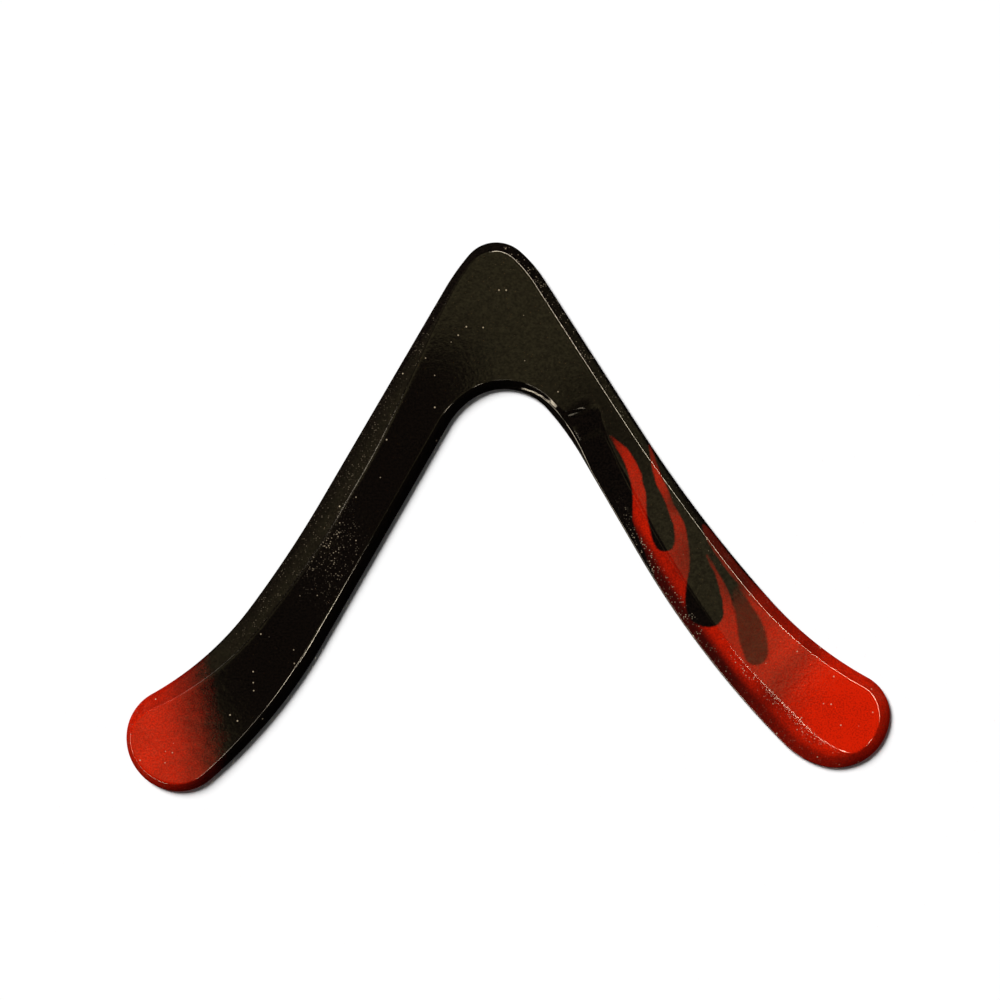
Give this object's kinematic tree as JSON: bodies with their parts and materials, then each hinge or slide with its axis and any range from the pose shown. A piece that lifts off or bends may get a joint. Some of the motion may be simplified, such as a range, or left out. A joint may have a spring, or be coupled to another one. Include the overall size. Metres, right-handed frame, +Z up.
{
  "type": "boomerang",
  "caption": "Right-handed two-arm returning boomerang in shaped birch plywood, black with airbrushed red flame tips under clear gloss lacquer.",
  "frame": {"origin": "middle of the bounding box's underside", "axes": "+X along the span from tip to tip, towards the flame-painted arm; +Y towards the nose of the elbow; +Z up through the curved upper face"},
  "size_m": [0.4081, 0.2896, 0.0063],
  "materials": {
    "birch_long_grain": "sanded birch veneer, grain along the span",
    "birch_cross_grain": "sanded birch veneer, grain from nose to tips",
    "glue_film": "cured phenolic resin film",
    "black_paint": "sprayed black under lacquer",
    "red_paint": "airbrushed red under lacquer",
    "clear_lacquer": "clear gloss with light orange peel"
  },
  "bodies": {
    "root": {"back_veneer": "birch_long_grain", "glue_film_1": "glue_film", "lower_veneer_1": "birch_cross_grain", "glue_film_2": "glue_film", "lower_veneer_2": "birch_long_grain", "glue_film_3": "glue_film", "lower_veneer_3": "birch_cross_grain", "glue_film_4": "glue_film", "core_veneer_1": "birch_long_grain", "glue_film_5": "glue_film", "core_veneer_2": "birch_cross_grain", "glue_film_6": "glue_film", "upper_veneer_1": "birch_long_grain", "glue_film_7": "glue_film", "upper_veneer_2": "birch_cross_grain", "glue_film_8": "glue_film", "upper_veneer_3": "birch_long_grain", "glue_film_9": "glue_film", "face_veneer": "birch_cross_grain", "black_colour_coat": "black_paint", "red_tip_coat_left": "red_paint", "red_flame_coat_right": "red_paint", "clear_gloss_coat": "clear_lacquer"}
  },
  "joints": []
}
